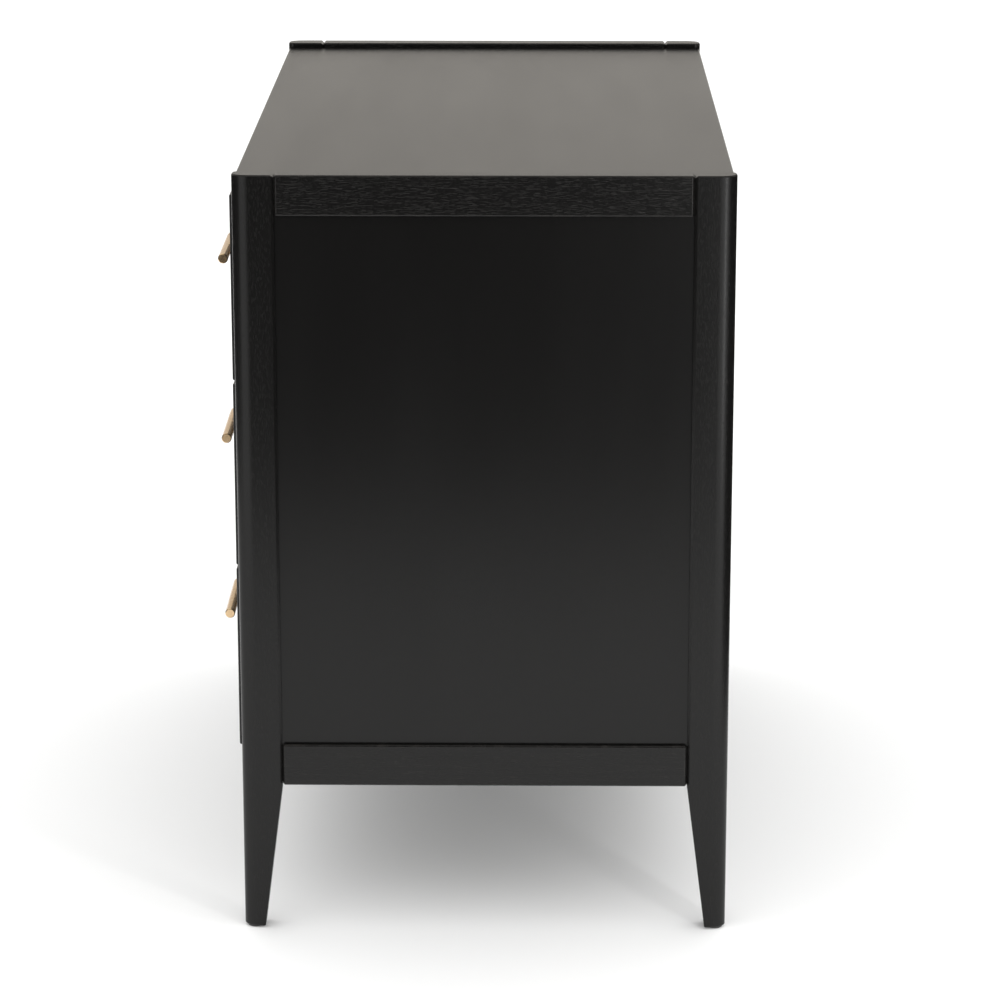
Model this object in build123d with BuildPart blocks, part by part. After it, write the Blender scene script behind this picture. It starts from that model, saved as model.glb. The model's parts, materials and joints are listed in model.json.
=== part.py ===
from build123d import *
import os

# Three-drawer nightstand in black-stained wood, in millimetres.
# +Z is up, -Y is the front where the drawers open, +X is the viewer's right.
# The origin is on the floor, at the middle of the whole object's plan, pulls included.

# Overall sizes
width = 680.0                # over the side frames
depth = 400.0                # over the legs
height = 638.0               # floor to the top of the side frames

# Legs and rails of the side frames
frame_thick = 18.0           # legs and side rails, seen from the front
leg_width = 33.5             # seen from the side
leg_drop = 126.5             # floor to the underside of the lower rails
foot_width = 17.5            # leg_width after the taper
nose_outer = (9.0, 14.0)     # elliptical rounding of the outside corner, along X and Y
nose_inner = (4.0, 5.0)      # the same on the corner beside the drawers
ease = 1.0                   # small chamfer on exposed wooden edges
seam = 2.0                   # chamfers that make a V-groove between leg and rail

# Nailed glides under the feet
glide_height = 1.5
glide_dia = 13.0
glide_nail_dia = 2.5
glide_nail_length = 12.0

# Rails and panels
top_rail_height = 33.0
bottom_rail_height = 35.5
panel_thick = 6.0
panel_recess = 4.0           # panel face behind the frame face
groove_depth = 8.0           # grooves for panels and stub tenons
haunch = 8.0                 # wood left between a tenon and the rail's free edge
slack = 0.5                  # room at the end of each tenon and panel

# Carcass boards
lip = 4.5                    # side frames stand this much above the top panel
top_thick = 13.0
bottom_thick = 16.0
board_inset = 1.0            # board edges behind the legs' faces
front_rail_height = 25.5
front_rail_thick = 18.0
front_tenon_thick = 8.0
front_tenon_margin = 4.0
back_inset = 6.0             # back panel behind the legs' rear faces
back_groove = 6.0

# Drawers
drawer_count = 3
drawer_gap = 3.0             # between fronts, and under the lowest
top_gap = 2.0                # under the top panel
side_gap = 2.0               # beside the fronts
front_thick = 18.0
front_proud = 3.0            # fronts stand this much before the legs
front_ease = 1.5
box_thick = 12.0
box_rise = 14.0              # front's lower edge to the box's lower edge
box_head = 21.0              # box's upper edge to the front's upper edge
box_end_space = 7.0          # box end to the slides' rear end
back_set = 8.0               # box back in from the rear ends of the sides
box_joint = 5.0              # depth of the housings that join the box
floor_thick = 5.0
floor_lift = 8.0             # box's lower edge to the drawer floor

# Ball-bearing slides
slide_space = 12.7           # between drawer side and cabinet side
slide_setback = 17.0         # legs' front faces to the slides' front end
slide_rear_space = 33.0      # slides' rear end to the legs' rear faces
slide_overlap = 100.0        # members still engaged when a drawer is fully out
cabinet_member_height = 36.0
member_edge_space = 2.9      # drawer side to the cabinet member's open edges
member_steel = 1.2
member_lip = 1.1             # bent edge that keeps the balls in
member_lip_thick = 1.0
ball_space = 4.0             # between the two members, where the balls roll
stop_gap = 0.5               # drawer member to the stop tab, drawer closed
cage_steel = 0.6
cage_clearance = 0.5         # cage to both members
cage_end_space = 3.0
ball_hole_dia = 4.0
ball_count = 8
ball_pitch = 11.0

# Pulls
pull_spread = 313.0          # between the two pulls of a drawer
pull_drop = 3.0              # below the middle of the front
pull_length = 85.0
pull_dia = 8.5
post_dia = 8.0
pull_reach = 20.0            # bar axis before the legs' front faces
pull_ease = 0.6

# Pull screws
screw_dia = 4.0
screw_in_post = 7.0
screw_head_dia = 8.0
screw_head_height = 2.6
screw_recess_dia = 9.5
screw_recess_depth = 3.0
screw_hole_dia = 4.6
thread_room = 0.1            # tapped hole over the screw's diameter

# Planes that several pieces share
y_front = -(depth + pull_reach + pull_dia / 2) / 2 + pull_reach + pull_dia / 2
y_back = y_front + depth
y_middle = (y_front + y_back) / 2
leg_front_inner = y_front + leg_width
leg_back_inner = y_back - leg_width
x_side = width / 2
x_frame = x_side - frame_thick          # inner faces of legs, side rails and slide boards
x_panel_out = x_side - panel_recess
x_panel_in = x_panel_out - panel_thick
y_panel_out = y_back - back_inset
y_panel_in = y_panel_out - panel_thick
z_top_under = height - lip - top_thick
z_bottom_top = leg_drop + front_rail_height
z_bottom_under = z_bottom_top - bottom_thick

front_width = 2 * (x_frame - side_gap)
fronts_height = z_top_under - top_gap - z_bottom_top - drawer_count * drawer_gap
front_height = fronts_height / drawer_count
front_face = y_front - front_proud
front_back = front_face + front_thick
slide_length = depth - slide_setback - slide_rear_space
slide_start = y_front + slide_setback
box_end = slide_start + slide_length - box_end_space
box_height = front_height - box_rise - box_head
x_box = x_frame - slide_space             # outer faces of the drawer sides
x_box_in = x_box - box_thick
travel = slide_length - slide_overlap
cage_length = slide_overlap - 2 * cage_end_space

sides = {"left": -1, "right": 1}
os.makedirs("parts", exist_ok=True)


def save(builder, label):
    """Label a finished piece and write it as a STEP file of the same name."""
    builder.part.label = label
    export_step(builder.part, f"parts/{label}.step")


def block(x_pair, y_pair, z_pair, mode=Mode.ADD):
    """A box between two limits along each axis, in the active part."""
    low = Vector(min(x_pair), min(y_pair), min(z_pair))
    size = Vector(max(x_pair), max(y_pair), max(z_pair)) - low
    with Locations(low):
        Box(size.X, size.Y, size.Z, align=(Align.MIN, Align.MIN, Align.MIN), mode=mode)


def leg_section(z, along):
    """Plan of the rear right leg at height z, with its rear end rounded like a nose."""
    xo, yo = x_side, y_back
    xi, yi = x_frame, y_back - along
    outer = (min(nose_outer[0], frame_thick / 2), min(nose_outer[1], along - seam - ease))
    inner = (min(nose_inner[0], frame_thick / 4), min(nose_inner[1], along - seam - ease))
    with BuildSketch(Plane.XY.offset(z)) as section:
        with BuildLine():
            Line((xi, yi), (xo, yi))
            Line((xo, yi), (xo, yo - outer[1]))
            EllipticalCenterArc((xo - outer[0], yo - outer[1]), *outer, 0, arc_size=90)
            Line((xo - outer[0], yo), (xi + inner[0], yo))
            EllipticalCenterArc((xi + inner[0], yo - inner[1]), *inner, 90, arc_size=90)
            Line((xi, yo - inner[1]), (xi, yi))
        make_face()
    return section.sketch


# Legs. The rear right one is drawn, and the others are its mirror images with their own grooves.
foot_x = x_side - frame_thick / 2
foot_y = y_back - foot_width / 2
groove_x = (x_panel_in, x_panel_out)
panel_groove_z = (leg_drop + haunch, height - haunch)
across_depth = Plane.XZ.offset(-y_middle)

with BuildPart() as leg_blank:
    upper = leg_section(leg_drop, leg_width)
    foot = leg_section(glide_height, foot_width)
    extrude(upper, amount=height - leg_drop, dir=(0, 0, 1))
    loft([foot, upper], ruled=True)
    seam_face = leg_blank.faces().filter_by(Axis.Y).sort_by(Axis.Y)[0]
    chamfer(seam_face.edges().sort_by(Axis.Z)[1:], seam)
    ends = leg_blank.faces().filter_by(Axis.Z).group_by(Axis.Z)
    chamfer(ends[0].edges() + ends[-1].edges().sort_by(Axis.Y)[1:], ease)
    block(groove_x, (leg_back_inner, leg_back_inner + groove_depth), panel_groove_z, Mode.SUBTRACT)
    with Locations((foot_x, foot_y, glide_height)):
        Cylinder(glide_nail_dia / 2, 2 * glide_nail_length, mode=Mode.SUBTRACT)

with BuildPart() as leg_back_right:
    add(leg_blank.part)
    back_panel_z = (z_bottom_top - back_groove, z_top_under + back_groove)
    block((x_frame, x_frame + back_groove), (y_panel_in, y_panel_out), back_panel_z, Mode.SUBTRACT)

front_tenon_y = (
    y_front + board_inset + (front_rail_thick - front_tenon_thick) / 2,
    y_front + board_inset + (front_rail_thick + front_tenon_thick) / 2,
)
front_tenon_z = (leg_drop + front_tenon_margin, z_bottom_top - front_tenon_margin)
with BuildPart() as leg_front_right:
    mirror(leg_blank.part, about=across_depth)
    block((x_frame, x_frame + groove_depth), front_tenon_y, front_tenon_z, Mode.SUBTRACT)

for leg, place in ((leg_back_right, "back"), (leg_front_right, "front")):
    save(leg, f"leg_{place}_right")
    with BuildPart() as left_leg:
        mirror(leg.part, about=Plane.YZ)
    save(left_leg, f"leg_{place}_left")

with BuildPart() as foot_glides:
    for end in (-1, 1):
        glide_y = y_middle + end * (foot_y - y_middle)
        with Locations((-foot_x, glide_y, 0), (foot_x, glide_y, 0)):
            Cylinder(glide_dia / 2, glide_height, align=(Align.CENTER, Align.CENTER, Align.MIN))
            Cylinder(glide_nail_dia / 2, glide_height + glide_nail_length,
                     align=(Align.CENTER, Align.CENTER, Align.MIN))
save(foot_glides, "foot_glides")


# Side frames
def side_rail(z_low, z_high, panel_up):
    """A right-hand rail with stub tenons, its panel groove above or below."""
    with BuildPart() as rail:
        block((x_frame, x_side), (leg_front_inner, leg_back_inner), (z_low, z_high))
        rail_ends = rail.faces().sort_by(Axis.Y)
        chamfer(rail_ends[0].edges() + rail_ends[-1].edges(), seam)
        chamfer(rail.edges().filter_by(Axis.Y), ease)
        reach = groove_depth - slack
        tenon_z = (z_low + haunch, z_high) if panel_up else (z_low, z_high - haunch)
        block(groove_x, (leg_front_inner - reach, leg_back_inner + reach), tenon_z)
        groove_z = (z_high - groove_depth, z_high) if panel_up else (z_low, z_low + groove_depth)
        block(groove_x, (leg_front_inner - reach, leg_back_inner + reach), groove_z, Mode.SUBTRACT)
    return rail


bottom_rail_z = (leg_drop, leg_drop + bottom_rail_height)
top_rail_z = (height - top_rail_height, height)
bottom_rail = side_rail(*bottom_rail_z, panel_up=True)
top_rail = side_rail(*top_rail_z, panel_up=False)

with BuildPart() as side_panel:
    reach = groove_depth - slack
    block(groove_x, (leg_front_inner - reach, leg_back_inner + reach),
          (bottom_rail_z[1] - reach, top_rail_z[0] + reach))

with BuildPart() as slide_board:
    block((x_frame, x_panel_in), (leg_front_inner, leg_back_inner), (bottom_rail_z[1], top_rail_z[0]))

right_pieces = {
    "side_rail_bottom": bottom_rail,
    "side_rail_top": top_rail,
    "side_panel": side_panel,
    "slide_board": slide_board,
}
for label, piece in right_pieces.items():
    save(piece, f"{label}_right")
    with BuildPart() as left_piece:
        mirror(piece.part, about=Plane.YZ)
    save(left_piece, f"{label}_left")


# Carcass boards
def carcass_board(y_low, z_low, z_high):
    """A board between the side frames, up to the rear."""
    block((-x_frame, x_frame), (y_low, y_back - board_inset), (z_low, z_high))


with BuildPart() as top_panel:
    carcass_board(y_front + board_inset, z_top_under, height - lip)
    ends = top_panel.faces().filter_by(Axis.Y).group_by(Axis.Y)
    top_edges = (ends[0].edges() + ends[-1].edges()).filter_by(Axis.X).group_by(Axis.Z)[-1]
    chamfer(top_edges, ease)
    block((-x_frame, x_frame), (y_panel_in, y_panel_out), (z_top_under, z_top_under + back_groove),
          Mode.SUBTRACT)
save(top_panel, "top_panel")

with BuildPart() as bottom_panel:
    carcass_board(y_front + board_inset + front_rail_thick, z_bottom_under, z_bottom_top)
    block((-x_frame, x_frame), (y_panel_in, y_panel_out), (z_bottom_top - back_groove, z_bottom_top),
          Mode.SUBTRACT)
save(bottom_panel, "bottom_panel")

with BuildPart() as back_panel:
    back_x = x_frame + back_groove - slack
    block((-back_x, back_x), (y_panel_in, y_panel_out),
          (z_bottom_top - back_groove + slack, z_top_under + back_groove - slack))
save(back_panel, "back_panel")

with BuildPart() as front_rail:
    rail_y = (y_front + board_inset, y_front + board_inset + front_rail_thick)
    block((-x_frame, x_frame), rail_y, (leg_drop, z_bottom_top))
    front_edges = front_rail.faces().sort_by(Axis.Y)[0].edges().filter_by(Axis.X)
    chamfer(front_edges, ease)
    tenon_x = x_frame + groove_depth - slack
    block((-tenon_x, tenon_x), front_tenon_y, front_tenon_z)
save(front_rail, "front_rail")


# Slides. u runs from the drawer side towards the cabinet side, v up from the slide's middle.
cabinet_half = cabinet_member_height / 2
cabinet_edge = (member_edge_space, member_edge_space + member_lip_thick)
cage_web = slide_space - member_steel - cage_clearance - cage_steel
drawer_depth = cage_web - cage_clearance
drawer_edge = (drawer_depth - member_lip_thick, drawer_depth)
drawer_half = cabinet_half - member_steel - ball_space
ball_u = (cabinet_edge[1] + drawer_edge[0]) / 2
ball_v = drawer_half + ball_space / 2
cage_half = ball_v + cage_steel / 2
member_length = slide_length - member_steel - stop_gap


def strip(side, z_mid, u_pair, v_pair, y_pair):
    """A flat strip of a slide, on one side of the drawer."""
    x_pair = [side * (x_box + u) for u in u_pair]
    block(x_pair, y_pair, [z_mid + v for v in v_pair])


def two_strips(side, z_mid, u_pair, v_pair, y_pair):
    """The same strip above and below the slide's middle."""
    strip(side, z_mid, u_pair, v_pair, y_pair)
    strip(side, z_mid, u_pair, [-v for v in v_pair], y_pair)


def cabinet_member(side, z_mid):
    """The channel fixed to the cabinet, with a tab at its rear that stops the drawer."""
    along = (slide_start, slide_start + slide_length)
    flange_v = (cabinet_half - member_steel, cabinet_half)
    lip_v = (cabinet_half - member_steel - member_lip, cabinet_half)
    full_v = (-cabinet_half, cabinet_half)
    with BuildPart() as member:
        strip(side, z_mid, (slide_space - member_steel, slide_space), full_v, along)
        two_strips(side, z_mid, (member_edge_space, slide_space), flange_v, along)
        two_strips(side, z_mid, cabinet_edge, lip_v, along)
        strip(side, z_mid, (member_steel, slide_space), full_v, (along[1] - member_steel, along[1]))
    return member


def drawer_member(side, z_mid):
    """The narrower channel fixed to the drawer side."""
    along = (slide_start, slide_start + member_length)
    flange_v = (drawer_half - member_steel, drawer_half)
    lip_v = (drawer_half - member_steel, drawer_half + member_lip)
    with BuildPart() as member:
        strip(side, z_mid, (0, member_steel), (-drawer_half, drawer_half), along)
        two_strips(side, z_mid, (0, drawer_depth), flange_v, along)
        two_strips(side, z_mid, drawer_edge, lip_v, along)
    return member


def ball_cage(side, z_mid):
    """The strip that spaces the balls, which travels half as far as the drawer."""
    along = (slide_start + cage_end_space, slide_start + cage_end_space + cage_length)
    middle = (along[0] + along[1]) / 2
    strip_u = (member_edge_space + cage_clearance, cage_web + cage_steel)
    with BuildPart() as cage:
        strip(side, z_mid, (cage_web, cage_web + cage_steel), (-cage_half, cage_half), along)
        two_strips(side, z_mid, strip_u, (ball_v - cage_steel / 2, cage_half), along)
        with Locations((side * (x_box + ball_u), middle, z_mid)):
            with GridLocations(1, ball_pitch, 1, ball_count):
                Cylinder(ball_hole_dia / 2, 2 * cage_half + 1, mode=Mode.SUBTRACT)
    return cage


# Drawers
def drawer_front(z_low):
    """The inset front, housed for the box and bored for the pulls."""
    z_box = z_low + box_rise
    with BuildPart() as front:
        block((-front_width / 2, front_width / 2), (front_face, front_back), (z_low, z_low + front_height))
        fillet(front.faces().sort_by(Axis.Y)[0].edges(), front_ease)
        for side in sides.values():
            block((side * x_box_in, side * x_box), (front_back - box_joint, front_back),
                  (z_box, z_box + box_height), Mode.SUBTRACT)
        block((-x_box_in, x_box_in), (front_back - box_joint, front_back),
              (z_box + floor_lift, z_box + floor_lift + floor_thick), Mode.SUBTRACT)
        z_pull = z_low + front_height / 2 - pull_drop
        with Locations(Plane((0, front_back, z_pull), x_dir=(-1, 0, 0), z_dir=(0, 1, 0))):
            with GridLocations(pull_spread, 1, 2, 1):
                CounterBoreHole(screw_hole_dia / 2, screw_recess_dia / 2, screw_recess_depth)
    return front


def drawer_side(side, z_box):
    """A box side with housings for the back and the floor."""
    joint_x = (side * x_box_in, side * (x_box_in + box_joint))
    with BuildPart() as board:
        block((side * x_box_in, side * x_box), (front_back - box_joint, box_end), (z_box, z_box + box_height))
        block(joint_x, (box_end - back_set - box_thick, box_end - back_set),
              (z_box, z_box + box_height), Mode.SUBTRACT)
        block(joint_x, (front_back - box_joint, box_end - back_set - box_thick),
              (z_box + floor_lift, z_box + floor_lift + floor_thick), Mode.SUBTRACT)
    return board


def drawer_back(z_box):
    """The box back, let into both sides, and grooved for the floor."""
    with BuildPart() as board:
        block((-x_box_in - box_joint, x_box_in + box_joint),
              (box_end - back_set - box_thick, box_end - back_set), (z_box, z_box + box_height))
        block((-x_box_in - box_joint, x_box_in + box_joint),
              (box_end - back_set - box_thick, box_end - back_set - box_thick + box_joint),
              (z_box + floor_lift, z_box + floor_lift + floor_thick), Mode.SUBTRACT)
    return board


def drawer_floor(z_box):
    """The thin floor, in grooves on all four sides."""
    reach = box_joint - slack
    with BuildPart() as board:
        block((-x_box_in - reach, x_box_in + reach),
              (front_back - reach, box_end - back_set - box_thick + reach),
              (z_box + floor_lift, z_box + floor_lift + floor_thick))
    return board


def pull(x_mid, z_mid):
    """A round bar on one central post, tapped from the rear."""
    bar_y = y_front - pull_reach
    with BuildPart() as handle:
        with BuildSketch(Plane.YZ.offset(x_mid - pull_length / 2)):
            with Locations((bar_y, z_mid)):
                Circle(pull_dia / 2)
        extrude(amount=pull_length)
        chamfer(handle.edges().filter_by(GeomType.CIRCLE), pull_ease)
        with BuildSketch(Plane.XZ.offset(-front_face)):
            with Locations((x_mid, z_mid)):
                Circle(post_dia / 2)
        extrude(amount=front_face - bar_y)
        with BuildSketch(Plane.XZ.offset(-front_face)):
            with Locations((x_mid, z_mid)):
                Circle((screw_dia + thread_room) / 2)
        extrude(amount=screw_in_post + 1, mode=Mode.SUBTRACT)
    return handle


def pull_screws(z_mid):
    """Pan-head screws from inside the drawer into the pulls' posts."""
    seat = front_back - screw_recess_depth
    with BuildPart() as screws:
        with BuildSketch(Plane.XZ.offset(-seat)):
            with Locations((-pull_spread / 2, z_mid), (pull_spread / 2, z_mid)):
                Circle(screw_dia / 2)
        extrude(amount=seat - front_face + screw_in_post)
        with BuildSketch(Plane.XZ.offset(-seat)):
            with Locations((-pull_spread / 2, z_mid), (pull_spread / 2, z_mid)):
                Circle(screw_head_dia / 2)
        extrude(amount=-screw_head_height)
    return screws


pitch = front_height + drawer_gap
for number in range(1, drawer_count + 1):
    z_front = z_top_under - top_gap - front_height - (number - 1) * pitch
    z_box = z_front + box_rise
    z_slide = z_box + box_height / 2
    z_pull = z_front + front_height / 2 - pull_drop

    save(drawer_front(z_front), f"drawer_front_{number}")
    save(drawer_back(z_box), f"drawer_back_{number}")
    save(drawer_floor(z_box), f"drawer_floor_{number}")
    save(pull_screws(z_pull), f"pull_screws_{number}")
    for name, side in sides.items():
        save(drawer_side(side, z_box), f"drawer_side_{number}_{name}")
        save(pull(side * pull_spread / 2, z_pull), f"pull_{number}_{name}")
        save(cabinet_member(side, z_slide), f"slide_cabinet_member_{number}_{name}")
        save(drawer_member(side, z_slide), f"slide_drawer_member_{number}_{name}")
        save(ball_cage(side, z_slide), f"slide_cage_{number}_{name}")
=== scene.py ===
import json
import math
import random

import bmesh
import bpy
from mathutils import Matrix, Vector


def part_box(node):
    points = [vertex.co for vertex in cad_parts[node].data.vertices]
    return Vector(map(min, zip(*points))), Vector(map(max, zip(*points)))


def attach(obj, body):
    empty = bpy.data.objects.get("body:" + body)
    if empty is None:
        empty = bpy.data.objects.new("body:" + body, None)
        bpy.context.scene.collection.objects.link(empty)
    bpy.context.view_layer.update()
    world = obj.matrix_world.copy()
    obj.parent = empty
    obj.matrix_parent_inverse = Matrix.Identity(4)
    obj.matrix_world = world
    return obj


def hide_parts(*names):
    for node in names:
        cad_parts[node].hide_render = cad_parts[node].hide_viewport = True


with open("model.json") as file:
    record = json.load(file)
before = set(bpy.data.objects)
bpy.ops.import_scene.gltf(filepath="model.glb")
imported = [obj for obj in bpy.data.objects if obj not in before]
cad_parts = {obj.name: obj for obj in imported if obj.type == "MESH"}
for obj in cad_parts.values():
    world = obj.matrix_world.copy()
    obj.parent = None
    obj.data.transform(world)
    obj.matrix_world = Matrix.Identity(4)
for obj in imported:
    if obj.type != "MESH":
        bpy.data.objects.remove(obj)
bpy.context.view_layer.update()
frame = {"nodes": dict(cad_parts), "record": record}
print("stage: frame loaded")

mm = 0.001
bodyOf = {node: body for body, members in frame["record"]["behaviour"]["bodies"].items() for node in members}
slotOf = {part["node"]: part["material_slot"] for part in frame["record"]["subparts"]}

# Camera, off the cabinet's right side and above it, looking down at it through a shifted long lens
shot = {
    "place": (3.0103, 0.0532, 1.1670),
    "heading": 90.61,   # degrees about Z, 90 looks along -X
    "dip": 14.42,       # degrees below the horizon
    "lens": 124.4,
    "shift": -0.13,
}
cameraData = bpy.data.cameras.new("sideCamera")
camera = bpy.data.objects.new("sideCamera", cameraData)
bpy.context.scene.collection.objects.link(camera)
camera.location = shot["place"]
camera.rotation_euler = (math.radians(90 - shot["dip"]), 0, math.radians(shot["heading"]))
cameraData.lens = shot["lens"]
cameraData.sensor_width = 36
cameraData.shift_y = shot["shift"]
cameraData.clip_end = 100
bpy.context.scene.camera = camera


# Small helpers for node trees
def addNode(tree, kind, links=None, **settings):
    node = tree.nodes.new(kind)
    for key, value in settings.items():
        setattr(node, key, value)
    for socket, value in (links or {}).items():
        if hasattr(value, "is_output"):
            tree.links.new(value, node.inputs[socket])
        else:
            node.inputs[socket].default_value = value
    return node


def maths(tree, operation, a, b):
    return addNode(tree, "ShaderNodeMath", {0: a, 1: b}, operation=operation).outputs[0]


def remap(tree, value, low, high, toLow=0.0, toHigh=1.0):
    node = addNode(tree, "ShaderNodeMapRange", {0: value, 1: low, 2: high, 3: toLow, 4: toHigh})
    return node.outputs[0]


def mixColour(tree, factor, a, b):
    node = tree.nodes.new("ShaderNodeMix")
    node.data_type = "RGBA"
    for index, value in ((0, factor), (6, a), (7, b)):
        if hasattr(value, "is_output"):
            tree.links.new(value, node.inputs[index])
        else:
            node.inputs[index].default_value = value
    return node.outputs[2]


def newGroup(name, inputs, outputs):
    group = bpy.data.node_groups.new(name, "ShaderNodeTree")
    for label, value in inputs.items():
        kind = "NodeSocketVector" if isinstance(value, tuple) else "NodeSocketFloat"
        group.interface.new_socket(label, in_out="INPUT", socket_type=kind).default_value = value
    for label in outputs:
        group.interface.new_socket(label, in_out="OUTPUT", socket_type="NodeSocketFloat")
    return group, group.nodes.new("NodeGroupInput").outputs, group.nodes.new("NodeGroupOutput").inputs


def streaks(tree, vector, length, width, detail=2.0, roughness=0.55):
    # noise drawn out along the grain, which is the vector's first component
    stretch = addNode(tree, "ShaderNodeCombineXYZ", {0: length, 1: width, 2: width}).outputs[0]
    scaled = addNode(tree, "ShaderNodeVectorMath", {0: vector, 1: stretch}, operation="DIVIDE").outputs[0]
    noise = addNode(tree, "ShaderNodeTexNoise", {"Vector": scaled, "Scale": 1.0, "Detail": detail,
                                                 "Roughness": roughness})
    return noise.outputs["Fac"]


# Wood grain: long fibres, short pores and slow clouds of colour
def woodFigure():
    shape = {"spread": (0.3, 0.7), "poreLevel": 0.82, "poreRange": 0.5, "poreEdge": 0.06,
             "cloudLength": 0.35, "cloudWidth": 0.06, "fibreHeight": 0.35}
    group, given, result = newGroup(
        "woodFigure",
        {"Grain": (0.0, 0.0, 0.0), "Fibre Length": 0.09, "Fibre Width": 0.0016, "Pore Length": 0.006,
         "Pore Width": 0.0003, "Pore Share": 0.3},
        ("Fibre", "Pores", "Cloud", "Height"))
    grain = given["Grain"]
    fibreNoise = streaks(group, grain, given["Fibre Length"], given["Fibre Width"], 3.0)
    fibre = remap(group, fibreNoise, *shape["spread"])
    poreNoise = streaks(group, grain, given["Pore Length"], given["Pore Width"], 1.0)
    lowered = maths(group, "MULTIPLY", given["Pore Share"], shape["poreRange"])
    edge = maths(group, "SUBTRACT", shape["poreLevel"], lowered)
    pores = remap(group, poreNoise, edge, maths(group, "ADD", edge, shape["poreEdge"]))
    cloud = remap(group, streaks(group, grain, shape["cloudLength"], shape["cloudWidth"]), *shape["spread"])
    height = maths(group, "SUBTRACT", maths(group, "MULTIPLY", fibre, shape["fibreHeight"]), pores)
    for label, value in (("Fibre", fibre), ("Pores", pores), ("Cloud", cloud), ("Height", height)):
        group.links.new(value, result[label])
    return group


# Fine parallel lines left by a brush or a roller, for metal
def brushLines():
    shape = {"spread": (0.3, 0.7), "cloudLength": 0.03, "cloudWidth": 0.012}
    group, given, result = newGroup(
        "brushLines", {"Grain": (0.0, 0.0, 0.0), "Line Length": 0.02, "Line Width": 0.00015},
        ("Lines", "Cloud"))
    grain = given["Grain"]
    lines = remap(group, streaks(group, grain, given["Line Length"], given["Line Width"]), *shape["spread"])
    cloudNoise = streaks(group, grain, shape["cloudLength"], shape["cloudWidth"], 3.0)
    cloud = remap(group, cloudNoise, *shape["spread"])
    group.links.new(lines, result["Lines"])
    group.links.new(cloud, result["Cloud"])
    return group


# Rubbed edges, broken up by noise
def edgeWear():
    shape = {"detail": 3.0, "roughness": 0.65, "level": 0.75, "range": 0.5, "edge": 0.15}
    group, given, result = newGroup(
        "edgeWear", {"Edge": 0.0, "Grain": (0.0, 0.0, 0.0), "Patch Size": 0.012, "Amount": 0.5}, ("Mask",))
    size = given["Patch Size"]
    patches = streaks(group, given["Grain"], size, size, shape["detail"], shape["roughness"])
    low = maths(group, "SUBTRACT", shape["level"], maths(group, "MULTIPLY", given["Amount"], shape["range"]))
    worn = remap(group, patches, low, maths(group, "ADD", low, shape["edge"]))
    group.links.new(maths(group, "MULTIPLY", worn, given["Edge"]), result["Mask"])
    return group


groups = {"wood": woodFigure(), "brush": brushLines(), "wear": edgeWear()}


class Paint:
    # one material with the attributes that every finished piece carries
    def __init__(self, name):
        self.material = bpy.data.materials.new(name)
        self.material.use_nodes = True
        self.tree = self.material.node_tree
        self.shader = self.tree.nodes["Principled BSDF"]
        self.grain = addNode(self.tree, "ShaderNodeAttribute", attribute_name="grain").outputs["Vector"]
        self.edge = addNode(self.tree, "ShaderNodeAttribute", attribute_name="edge").outputs["Fac"]
        self.figure = addNode(self.tree, "ShaderNodeAttribute", attribute_name="figure").outputs["Fac"]

    def group(self, which, **values):
        node = addNode(self.tree, "ShaderNodeGroup", node_tree=groups[which])
        self.tree.links.new(self.grain, node.inputs["Grain"])
        for label, value in values.items():
            socket = node.inputs[label.replace("_", " ")]
            if hasattr(value, "is_output"):
                self.tree.links.new(value, socket)
            else:
                socket.default_value = value
        return node.outputs

    def put(self, **values):
        for label, value in values.items():
            socket = self.shader.inputs[label.replace("_", " ")]
            if hasattr(value, "is_output"):
                self.tree.links.new(value, socket)
            else:
                socket.default_value = value

    def bump(self, height, strength, distance):
        settings = {"Strength": strength, "Distance": distance, "Height": height}
        node = addNode(self.tree, "ShaderNodeBump", settings)
        self.tree.links.new(node.outputs[0], self.shader.inputs["Normal"])
        return self.material


def blackStain():
    # The pore colour is paler than the stain and paints the glint that open pores catch; the pores themselves
    # are real, and the bump sinks them.
    look = {"deep": (0.0040, 0.0038, 0.0036, 1), "fibre": (0.0060, 0.0057, 0.0054, 1),
            "pore": (0.016, 0.015, 0.014, 1), "rubbed": (0.012, 0.011, 0.010, 1),
            "rough": 0.24, "roughSpread": 0.03, "bump": 0.3, "depth": 0.12 * mm,
            "shine": 0.28, "poreShare": 0.42, "wear": 0.55}
    paint = Paint("blackStain")
    tree = paint.tree
    wood = paint.group("wood", Pore_Share=look["poreShare"])
    wear = paint.group("wear", Edge=paint.edge, Amount=look["wear"])["Mask"]
    base = mixColour(tree, maths(tree, "MULTIPLY", wood["Fibre"], paint.figure), look["deep"], look["fibre"])
    # painted glint: the pores are mixed in paler than the stain, as if they were catching light
    pored = mixColour(tree, maths(tree, "MULTIPLY", wood["Pores"], paint.figure), base, look["pore"])
    paint.put(Base_Color=mixColour(tree, wear, pored, look["rubbed"]), Specular_IOR_Level=look["shine"],
              Roughness=remap(tree, wood["Cloud"], 0, 1, look["rough"], look["rough"] + look["roughSpread"]))
    return paint.bump(maths(tree, "MULTIPLY", wood["Height"], paint.figure), look["bump"], look["depth"])


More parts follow.
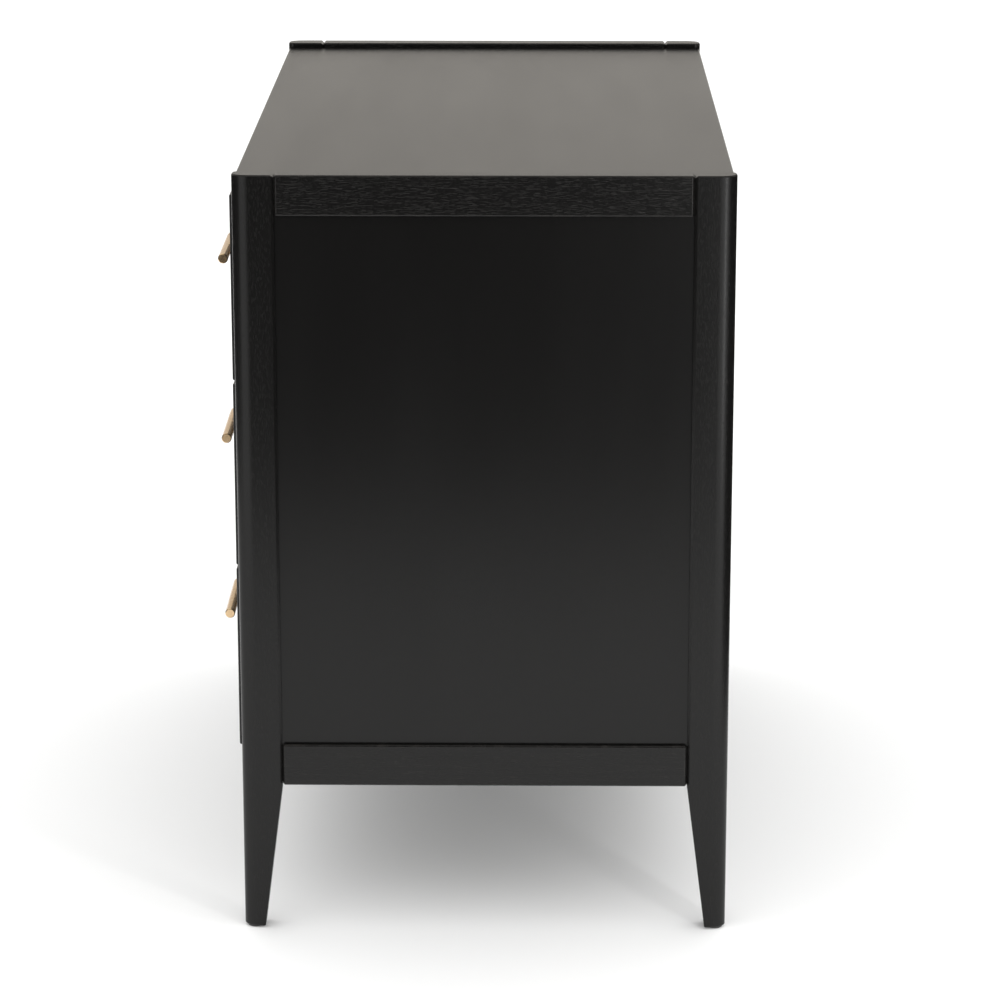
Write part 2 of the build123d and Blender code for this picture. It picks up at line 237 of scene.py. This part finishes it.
def paleWood():
    look = {"light": (0.60, 0.44, 0.27, 1), "dark": (0.46, 0.31, 0.17, 1), "pore": (0.30, 0.19, 0.10, 1),
            "handled": (0.40, 0.27, 0.15, 1), "rough": 0.5, "roughSpread": 0.15, "bump": 0.5,
            "depth": 0.15 * mm, "fibreLength": 0.16, "fibreWidth": 0.004, "poreShare": 0.35, "wear": 0.4,
            "clouding": 0.35}
    paint = Paint("paleWood")
    tree = paint.tree
    wood = paint.group("wood", Fibre_Length=look["fibreLength"], Fibre_Width=look["fibreWidth"],
                       Pore_Share=look["poreShare"])
    wear = paint.group("wear", Edge=paint.edge, Amount=look["wear"])["Mask"]
    base = mixColour(tree, wood["Fibre"], look["light"], look["dark"])
    clouded = mixColour(tree, maths(tree, "MULTIPLY", wood["Cloud"], look["clouding"]), base, look["dark"])
    pored = mixColour(tree, wood["Pores"], clouded, look["pore"])
    paint.put(Base_Color=mixColour(tree, wear, pored, look["handled"]),
              Roughness=remap(tree, wood["Cloud"], 0, 1, look["rough"], look["rough"] + look["roughSpread"]))
    return paint.bump(wood["Height"], look["bump"], look["depth"])


cloudRough = 0.05    # roughness that dull clouds add to every metal


def metal(name, look):
    paint = Paint(name)
    tree = paint.tree
    brush = paint.group("brush", Line_Length=look["lineLength"], Line_Width=look["lineWidth"])
    wear = paint.group("wear", Edge=paint.edge, Amount=look["wear"])["Mask"]
    base = mixColour(tree, brush["Lines"], look["light"], look["dark"])
    clouded = mixColour(tree, maths(tree, "MULTIPLY", brush["Cloud"], look["clouding"]), base, look["dull"])
    lined = remap(tree, brush["Lines"], 0, 1, look["rough"], look["rough"] + look["roughSpread"])
    rough = maths(tree, "ADD", lined, maths(tree, "MULTIPLY", brush["Cloud"], cloudRough))
    paint.put(Base_Color=mixColour(tree, wear, clouded, look["polished"]), Metallic=1.0, Roughness=rough)
    return paint.bump(brush["Lines"], look["bump"], look["depth"])


def brushedBrass():
    return metal("brushedBrass", {
        "light": (0.72, 0.53, 0.33, 1), "dark": (0.60, 0.42, 0.24, 1), "dull": (0.52, 0.35, 0.19, 1),
        "polished": (0.88, 0.67, 0.42, 1), "clouding": 0.3, "rough": 0.15, "roughSpread": 0.10,
        "lineLength": 0.012, "lineWidth": 0.00018, "bump": 0.25, "depth": 0.02 * mm, "wear": 0.6})


def zincSteel():
    return metal("zincSteel", {
        "light": (0.72, 0.73, 0.75, 1), "dark": (0.58, 0.59, 0.61, 1), "dull": (0.50, 0.50, 0.47, 1),
        "polished": (0.82, 0.83, 0.85, 1), "clouding": 0.5, "rough": 0.3, "roughSpread": 0.15,
        "lineLength": 0.05, "lineWidth": 0.0004, "bump": 0.3, "depth": 0.03 * mm, "wear": 0.5})


def cageSteel():
    return metal("cageSteel", {
        "light": (0.60, 0.60, 0.58, 1), "dark": (0.45, 0.45, 0.43, 1), "dull": (0.33, 0.31, 0.26, 1),
        "polished": (0.70, 0.70, 0.70, 1), "clouding": 0.6, "rough": 0.25, "roughSpread": 0.1,
        "lineLength": 0.03, "lineWidth": 0.0003, "bump": 0.2, "depth": 0.02 * mm, "wear": 0.4})


def ballSteel():
    return metal("ballSteel", {
        "light": (0.80, 0.80, 0.82, 1), "dark": (0.72, 0.72, 0.74, 1), "dull": (0.45, 0.42, 0.36, 1),
        "polished": (0.85, 0.85, 0.87, 1), "clouding": 0.35, "rough": 0.12, "roughSpread": 0.05,
        "lineLength": 0.002, "lineWidth": 0.001, "bump": 0.05, "depth": 0.01 * mm, "wear": 0.3})


def glideNylon():
    look = {"dark": (0.030, 0.030, 0.031, 1), "scuffed": (0.09, 0.088, 0.085, 1), "rough": 0.5,
            "roughSpread": 0.2, "lineLength": 0.003, "lineWidth": 0.0005, "wear": 0.7, "clouding": 0.4,
            "bump": 0.2, "depth": 0.02 * mm}
    paint = Paint("glideNylon")
    tree = paint.tree
    brush = paint.group("brush", Line_Length=look["lineLength"], Line_Width=look["lineWidth"])
    wear = paint.group("wear", Edge=paint.edge, Amount=look["wear"])["Mask"]
    clouded = maths(tree, "MULTIPLY", brush["Cloud"], look["clouding"])
    base = mixColour(tree, clouded, look["dark"], look["scuffed"])
    paint.put(Base_Color=mixColour(tree, wear, base, look["scuffed"]),
              Roughness=remap(tree, brush["Cloud"], 0, 1, look["rough"], look["rough"] + look["roughSpread"]))
    return paint.bump(brush["Lines"], look["bump"], look["depth"])


materials = {
    "black_stained_wood": blackStain(),
    "pale_drawer_wood": paleWood(),
    "brushed_brass": brushedBrass(),
    "zinc_plated_steel": zincSteel(),
    "cage_steel": cageSteel(),
    "glide_nylon": glideNylon(),
    "balls": ballSteel(),
}
print("stage: materials made")

# How each kind of piece is finished: grain direction, edge rounding in mm, and strength of the figure
finishes = {
    "leg": {"grain": "Z", "round": 1.0, "figure": 0.4},
    "side_rail": {"grain": "Y", "round": 0.6, "figure": 1.0},
    "side_panel": {"grain": "Z", "round": 0.2, "figure": 0.06},
    "slide_board": {"grain": "Z", "round": 0.2, "figure": 0.5},
    "top_panel": {"grain": "X", "round": 0.4, "figure": 0.35},
    "bottom_panel": {"grain": "X", "round": 0.3, "figure": 0.5},
    "back_panel": {"grain": "Z", "round": 0.2, "figure": 0.3},
    "front_rail": {"grain": "X", "round": 0.4, "figure": 0.9},
    "foot_glides": {"grain": "Z", "round": 0.3, "figure": 1.0},
    "drawer_front": {"grain": "X", "round": 0.25, "figure": 0.7},
    "drawer_side": {"grain": "Y", "round": 0.8, "figure": 1.0},
    "drawer_back": {"grain": "X", "round": 0.8, "figure": 1.0},
    "drawer_floor": {"grain": "X", "round": 0.2, "figure": 1.0},
    "pull_screws": {"grain": "Y", "round": 0.3, "figure": 1.0},
    "pull": {"grain": "X", "round": 0.15, "figure": 1.0},
    "slide_cabinet_member": {"grain": "Y", "round": 0.25, "figure": 1.0},
    "slide_drawer_member": {"grain": "Y", "round": 0.25, "figure": 1.0},
    "slide_cage": {"grain": "Y", "round": 0.08, "figure": 1.0},
}

softening = {
    "mergeGap": 0.001 * mm,
    "flatAngle": 0.4,       # degrees, between faces that become one
    "sharpAngle": 30.0,     # degrees, between faces whose edge is rounded
    "segments": 3,
    "flatWeight": 100,      # how far large faces keep their normals flat
    "edgeShape": 1.2,       # how narrow a face counts as a rounded edge
}


def camel(name):
    first, *others = name.split("_")
    return first + "".join(word.capitalize() for word in others)


def finishOf(node):
    # the longest matching kind, so that pull_screws isn't taken for pull
    return finishes[max((kind for kind in finishes if node.startswith(kind)), key=len)]


def markSurface(mesh, grainAxis, figure, roundWidth, rng):
    # each piece has its own stretch of grain, and its rounded edges are marked for wear
    offset = Vector(rng.uniform(-5, 5) for _ in range(3))
    order = {"X": (0, 1, 2), "Y": (1, 2, 0), "Z": (2, 0, 1)}[grainAxis]
    grain = mesh.attributes.new("grain", "FLOAT_VECTOR", "POINT")
    for vertex, value in zip(mesh.vertices, grain.data):
        value.vector = Vector(vertex.co[index] for index in order) + offset
    edge = mesh.attributes.new("edge", "FLOAT", "FACE")
    shade = mesh.attributes.new("figure", "FLOAT", "FACE")
    for polygon, edgeValue, shadeValue in zip(mesh.polygons, edge.data, shade.data):
        corners = [mesh.vertices[index].co for index in polygon.vertices]
        around = sum((a - b).length for a, b in zip(corners, corners[1:] + corners[:1]))
        narrow = 2 * polygon.area < softening["edgeShape"] * roundWidth * around
        edgeValue.value = 1.0 if narrow else 0.0
        shadeValue.value = figure


def evaluatedMesh(piece, name):
    # what the modifiers make of a piece, as a plain mesh
    bpy.context.view_layer.update()
    graph = bpy.context.evaluated_depsgraph_get()
    mesh = bpy.data.meshes.new_from_object(piece.evaluated_get(graph), depsgraph=graph)
    mesh.name = name
    return mesh


def finishPiece(node, rng):
    finish = finishOf(node)
    name = camel(node)
    mesh = frame["nodes"][node].data.copy()
    mesh.name = name
    shell = bmesh.new()
    shell.from_mesh(mesh)
    bmesh.ops.remove_doubles(shell, verts=shell.verts, dist=softening["mergeGap"])
    bmesh.ops.dissolve_limit(shell, angle_limit=math.radians(softening["flatAngle"]), verts=shell.verts,
                             edges=shell.edges)
    for face in shell.faces:
        face.smooth = True
    shell.to_mesh(mesh)
    shell.free()
    piece = bpy.data.objects.new(name, mesh)
    bpy.context.scene.collection.objects.link(piece)
    bevel = piece.modifiers.new("softEdge", "BEVEL")
    bevel.width = finish["round"] * mm
    bevel.segments = softening["segments"]
    bevel.limit_method = "ANGLE"
    bevel.angle_limit = math.radians(softening["sharpAngle"])
    bevel.use_clamp_overlap = True
    weighted = piece.modifiers.new("flatFaces", "WEIGHTED_NORMAL")
    weighted.weight = softening["flatWeight"]
    weighted.keep_sharp = True
    piece.data = evaluatedMesh(piece, name)
    piece.modifiers.clear()
    markSurface(piece.data, finish["grain"], finish["figure"], finish["round"] * mm, rng)
    piece.data.materials.clear()
    piece.data.materials.append(materials[slotOf[node]])
    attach(piece, bodyOf[node])
    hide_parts(node)
    return piece


rng = random.Random(11)
finished = {node: finishPiece(node, rng) for node in sorted(frame["nodes"])}
print("stage: wood and metal finished,", len(finished), "pieces")


# Balls and screw heads: geometry nodes put one shape on every place of a row
def rowTree(name, inputs):
    tree = bpy.data.node_groups.new(name, "GeometryNodeTree")
    tree.interface.new_socket("Places", in_out="INPUT", socket_type="NodeSocketGeometry")
    for label, value in inputs.items():
        kind = "NodeSocketInt" if isinstance(value, int) else "NodeSocketFloat"
        tree.interface.new_socket(label, in_out="INPUT", socket_type=kind).default_value = value
    tree.interface.new_socket("Row", in_out="OUTPUT", socket_type="NodeSocketGeometry")
    return tree, tree.nodes.new("NodeGroupInput").outputs, tree.nodes.new("NodeGroupOutput").inputs


def endRow(tree, places, shape, rotation, material, result):
    # the shape on every place, then plain geometry with its material
    turned = {"Rotation": rotation} if rotation else {}
    spread = addNode(tree, "GeometryNodeInstanceOnPoints", {"Points": places, "Instance": shape, **turned})
    plain = addNode(tree, "GeometryNodeRealizeInstances", {0: spread.outputs[0]}).outputs[0]
    painted = addNode(tree, "GeometryNodeSetMaterial", {"Geometry": plain, "Material": material}).outputs[0]
    tree.links.new(painted, result["Row"])
    return tree


def ballRow():
    tree, given, result = rowTree("ballRow", {"Diameter": 3.8 * mm})
    radius = maths(tree, "MULTIPLY", given["Diameter"], 0.5)
    ball = addNode(tree, "GeometryNodeMeshIcoSphere", {"Radius": radius, "Subdivisions": 2}).outputs[0]
    smooth = addNode(tree, "GeometryNodeSetShadeSmooth", {0: ball}).outputs[0]
    return endRow(tree, given["Places"], smooth, None, materials["balls"], result)


def screwRow():
    # a domed head with a cross recess, turned at random about its own axis; arm and slit are shares of
    # the head's diameter, and sharp is the angle in radians where smooth shading stops
    shape = {"segments": 24, "rings": 16, "arm": 0.55, "slit": 0.13, "sharp": 0.6}
    tree, given, result = rowTree("screwRow", {"Diameter": 7 * mm, "Height": 1.6 * mm,
                                               "Recess Depth": 0.9 * mm, "Seed": 3})
    half = maths(tree, "MULTIPLY", given["Diameter"], 0.5)
    size = addNode(tree, "ShaderNodeCombineXYZ", {0: half, 1: half, 2: given["Height"]}).outputs[0]
    sphere = {"Segments": shape["segments"], "Rings": shape["rings"], "Radius": 1.0}
    ball = addNode(tree, "GeometryNodeMeshUVSphere", sphere).outputs[0]
    dome = addNode(tree, "GeometryNodeTransform", {"Geometry": ball, "Scale": size}).outputs[0]

    def block(length, width, tall, z):
        sides = addNode(tree, "ShaderNodeCombineXYZ", {0: length, 1: width, 2: tall}).outputs[0]
        middle = addNode(tree, "ShaderNodeCombineXYZ", {2: z}).outputs[0]
        cube = addNode(tree, "GeometryNodeMeshCube", {"Size": sides}).outputs[0]
        return addNode(tree, "GeometryNodeTransform", {"Geometry": cube, "Translation": middle}).outputs[0]

    wide = maths(tree, "MULTIPLY", given["Diameter"], 2.0)
    tall = maths(tree, "MULTIPLY", given["Height"], 2.0)
    below = block(wide, wide, tall, maths(tree, "MULTIPLY", given["Height"], -1.0))
    arm = maths(tree, "MULTIPLY", given["Diameter"], shape["arm"])
    slit = maths(tree, "MULTIPLY", given["Diameter"], shape["slit"])
    crossMiddle = maths(tree, "SUBTRACT", tall, given["Recess Depth"])
    head = dome
    for cutter in (below, block(arm, slit, tall, crossMiddle), block(slit, arm, tall, crossMiddle)):
        head = addNode(tree, "GeometryNodeMeshBoolean", {0: head, 1: cutter}, operation="DIFFERENCE",
                       solver="EXACT").outputs[0]
    angle = addNode(tree, "GeometryNodeInputMeshEdgeAngle").outputs["Unsigned Angle"]
    crisp = addNode(tree, "FunctionNodeCompare", {0: angle, 1: shape["sharp"]},
                    operation="GREATER_THAN").outputs[0]
    smooth = addNode(tree, "GeometryNodeSetShadeSmooth", {0: head}).outputs[0]
    edged = addNode(tree, "GeometryNodeSetShadeSmooth", {0: smooth, 1: crisp, 2: False},
                    domain="EDGE").outputs[0]
    aim = addNode(tree, "GeometryNodeInputNamedAttribute", {"Name": "aim"},
                  data_type="FLOAT_VECTOR").outputs[0]
    upright = addNode(tree, "FunctionNodeAlignRotationToVector", {"Vector": aim}, axis="Z").outputs[0]
    turn = addNode(tree, "FunctionNodeRandomValue", {2: 0.0, 3: math.pi, 8: given["Seed"]}).outputs[1]
    about = addNode(tree, "FunctionNodeAxisAngleToRotation", {"Axis": (0, 0, 1), "Angle": turn}).outputs[0]
    rotation = addNode(tree, "FunctionNodeRotateRotation", {0: upright, 1: about},
                       rotation_space="LOCAL").outputs[0]
    return endRow(tree, given["Places"], edged, rotation, materials["zinc_plated_steel"], result)


def makeRow(name, tree, values, places, body):
    mesh = bpy.data.meshes.new(name + "Places")
    mesh.from_pydata([place for place, aim in places], [], [])
    aims = mesh.attributes.new("aim", "FLOAT_VECTOR", "POINT")
    for value, (place, aim) in zip(aims.data, places):
        value.vector = aim
    piece = bpy.data.objects.new(name, mesh)
    modifier = piece.modifiers.new("row", "NODES")
    modifier.node_group = tree
    sockets = {item.name: item.identifier for item in tree.interface.items_tree if item.in_out == "INPUT"}
    for label, value in values.items():
        modifier[sockets[label]] = value
    bpy.context.scene.collection.objects.link(piece)
    piece.data = evaluatedMesh(piece, name)
    piece.modifiers.clear()
    markSurface(piece.data, "Y", 1.0, 0.0, rng)
    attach(piece, body)


# Places measured from the slides' own members, in metres
rows = {
    "ballCount": 8,
    "ballPitch": 11 * mm,
    "ballDiameter": 3.8 * mm,
    "ballInset": 3.0 * mm,        # cage's inner edge to the balls
    "cageHalf": 0.3 * mm,         # half the cage's thickness
    "webThick": 1.2 * mm,
    "screwStarts": (0.037, 0.165, 0.293),    # from the slide's front end
    "panHead": {"Diameter": 7 * mm, "Height": 1.6 * mm, "Recess Depth": 0.9 * mm},
    "flushHead": {"Diameter": 7.5 * mm, "Height": 0.24 * mm, "Recess Depth": 0.15 * mm},
}


def sideFaces(node, side):
    # the node's X nearest the drawer and nearest the cabinet's side
    low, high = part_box(node)
    return (low.x, high.x) if side > 0 else (high.x, low.x)


def ballPlaces(number):
    places = []
    for side, name in ((1, "right"), (-1, "left")):
        node = f"slide_cage_{number}_{name}"
        low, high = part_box(node)
        x = sideFaces(node, side)[0] + side * rows["ballInset"]
        for z in (low.z + rows["cageHalf"], high.z - rows["cageHalf"]):
            for index in range(rows["ballCount"]):
                y = (low.y + high.y) / 2 + (index - (rows["ballCount"] - 1) / 2) * rows["ballPitch"]
                places.append(((x, y, z), (0, 0, 1)))
    return places


def screwPlaces(number, member, outwards):
    places = []
    for side, name in ((1, "right"), (-1, "left")):
        node = f"slide_{member}_member_{number}_{name}"
        low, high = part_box(node)
        near, far = sideFaces(node, side)
        x = near + side * rows["webThick"] if outwards else far - side * rows["webThick"]
        aim = (side if outwards else -side, 0, 0)
        places += [((x, low.y + start, (low.z + high.z) / 2), aim) for start in rows["screwStarts"]]
    return places


balls, screws = ballRow(), screwRow()
for number in (1, 2, 3):
    makeRow(f"slideBalls{number}", balls, {"Diameter": rows["ballDiameter"]}, ballPlaces(number),
            f"ball_cages_{number}")
    makeRow(f"drawerSlideScrews{number}", screws, {**rows["panHead"], "Seed": number},
            screwPlaces(number, "drawer", True), f"drawer_{number}")
cabinetPlaces = [place for number in (1, 2, 3) for place in screwPlaces(number, "cabinet", False)]
makeRow("cabinetSlideScrews", screws, {**rows["flushHead"], "Seed": 7}, cabinetPlaces, "cabinet")
print("stage: balls and screws made")

# Studio: a pale floor and an even pale sky. Dark flags stand round the cabinet on three sides, as for
# photographing glossy furniture, and only reflections see them. So does the dimmer sky above them.
studio = {
    "floor": (0.88, 0.88, 0.875, 1),
    "floorSize": 60.0,
    "matt": 0.9,                                # roughness and specular level of floor and flags
    "shine": 0.2,
    "sky": (1.0, 1.0, 1.0, 1),
    "skyStrength": 1.5,
    "mirrorBehind": (0.80, 0.76, 0.70, 1),      # sky seen in reflections: behind the cabinet,
    "mirrorBefore": (0.04, 0.04, 0.04, 1),      # before it,
    "mirrorAbove": (0.80, 0.78, 0.74, 1),       # and overhead
    "mirrorTurn": (0.1, -0.45),                 # X of the direction, from before to behind
    "mirrorRise": (0.45, 0.85),                 # Z of the direction, from the sides to overhead
    "flag": (0.004, 0.004, 0.004, 1),
    "flagHeight": 1.1,
    "flags": {                                  # plan of each flag, from end to end
        "Front": ((-1.5, -1.5), (1.5, -1.5)),
        "Side": ((1.5, -0.52), (1.5, 0.31)),
        "Back": ((0.85, 0.75), (-1.5, 0.75)),
    },
    "stripPlace": (1.20, 0.72, 0.90),
    "stripSize": (0.07, 1.5),
    "stripAim": (0.3, 0.2, 0.90),
    "stripPower": 3.2,
}


def plainMaterial(name, colour):
    material = bpy.data.materials.new(name)
    material.use_nodes = True
    shader = material.node_tree.nodes["Principled BSDF"]
    shader.inputs["Base Color"].default_value = colour
    shader.inputs["Roughness"].default_value = studio["matt"]
    shader.inputs["Specular IOR Level"].default_value = studio["shine"]
    return material


def stagePlane(name, corners, material):
    mesh = bpy.data.meshes.new(name)
    mesh.from_pydata(corners, [], [(0, 1, 2, 3)])
    plane = bpy.data.objects.new(name, mesh)
    bpy.context.scene.collection.objects.link(plane)
    mesh.materials.append(material)
    return plane


def studioSet():
    half = studio["floorSize"] / 2
    floor = plainMaterial("studioFloor", studio["floor"])
    corners = [(-half, -half, 0), (half, -half, 0), (half, half, 0), (-half, half, 0)]
    stagePlane("studioFloor", corners, floor)
    black = plainMaterial("studioFlag", studio["flag"])
    top = studio["flagHeight"]
    for name, (start, end) in studio["flags"].items():
        corners = [(*start, 0), (*end, 0), (*end, top), (*start, top)]
        flag = stagePlane("studioFlag" + name, corners, black)
        flag.visible_camera = flag.visible_diffuse = flag.visible_shadow = flag.visible_transmission = False


def studioSky():
    world = bpy.data.worlds.new("studioSky")
    world.use_nodes = True
    tree = world.node_tree
    direction = addNode(tree, "ShaderNodeTexCoord").outputs["Generated"]
    parts = addNode(tree, "ShaderNodeSeparateXYZ", {0: direction}).outputs
    turn = remap(tree, parts["X"], *studio["mirrorTurn"])
    side = mixColour(tree, turn, studio["mirrorBefore"], studio["mirrorBehind"])
    mirrored = mixColour(tree, remap(tree, parts["Z"], *studio["mirrorRise"]), side, studio["mirrorAbove"])
    glossy = addNode(tree, "ShaderNodeLightPath").outputs["Is Glossy Ray"]
    background = tree.nodes["Background"]
    tree.links.new(mixColour(tree, glossy, studio["sky"], mirrored), background.inputs["Color"])
    tree.links.new(remap(tree, glossy, 0, 1, studio["skyStrength"], 1.0), background.inputs["Strength"])
    bpy.context.scene.world = world
    bpy.context.scene.view_settings.view_transform = "Standard"


def softbox(name, place, target, size, power):
    data = bpy.data.lights.new(name, "AREA")
    data.shape = "RECTANGLE"
    data.size, data.size_y = size
    data.energy = power
    lamp = bpy.data.objects.new(name, data)
    bpy.context.scene.collection.objects.link(lamp)
    lamp.location = place
    lamp.rotation_euler = (Vector(target) - Vector(place)).to_track_quat("-Z", "Y").to_euler()
    lamp.visible_camera = False


studioSet()
studioSky()
softbox("stripBox", studio["stripPlace"], studio["stripAim"], studio["stripSize"], studio["stripPower"])
print("stage: studio lit")
